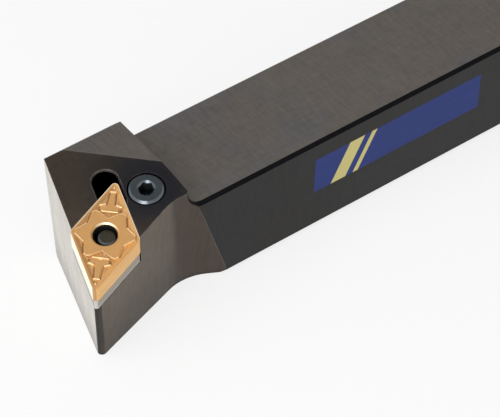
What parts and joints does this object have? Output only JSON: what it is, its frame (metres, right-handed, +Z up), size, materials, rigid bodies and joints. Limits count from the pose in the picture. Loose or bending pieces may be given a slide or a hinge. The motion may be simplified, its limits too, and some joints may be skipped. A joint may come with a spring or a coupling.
{
  "type": "turning tool holder",
  "caption": "Right-hand external turning tool holder with a square shank, a raised head, and a rhombic insert on a shim clamped by a lever and screw.",
  "frame": {"origin": "middle of the outer box on the underside of the shank and head", "axes": "+X along the shank from the cutting nose to the rear end, +Y from the cutting side to the back side of the shank, +Z up from the underside to the cutting edge"},
  "size_m": [0.15, 0.032, 0.031],
  "materials": {
    "holder_steel": "ground and darkened tool steel, satin",
    "coated_carbide": "gold coloured hard coating, satin",
    "bare_carbide": "ground cemented carbide",
    "spring_steel": "hardened spring steel, satin",
    "lever_steel": "hardened forged steel, satin",
    "screw_steel": "blued hardened steel, semi gloss"
  },
  "bodies": {
    "holder": {"holder_body": "holder_steel", "insert": "coated_carbide", "shim": "bare_carbide", "shim_sleeve": "spring_steel"},
    "lever": {"clamp_lever": "lever_steel"},
    "screw": {"clamp_screw": "screw_steel"}
  },
  "joints": [
    {"name": "clamp_screw_travel", "type": "slide", "parent": "holder", "child": "screw", "axis": [-0.1277, -0.1277, 0.9835], "range_m": [0, 0.0007]},
    {"name": "clamp_lever_tilt", "type": "hinge", "parent": "holder", "child": "lever", "pos_m": [-0.06368, -0.00468, 0.01076], "axis": [0.3061, -0.9483, -0.0834], "range_deg": [0, 4]}
  ],
  "couplings": [
    {"joint": "clamp_lever_tilt", "follows": "clamp_screw_travel", "rad_per_m": 99.7}
  ]
}
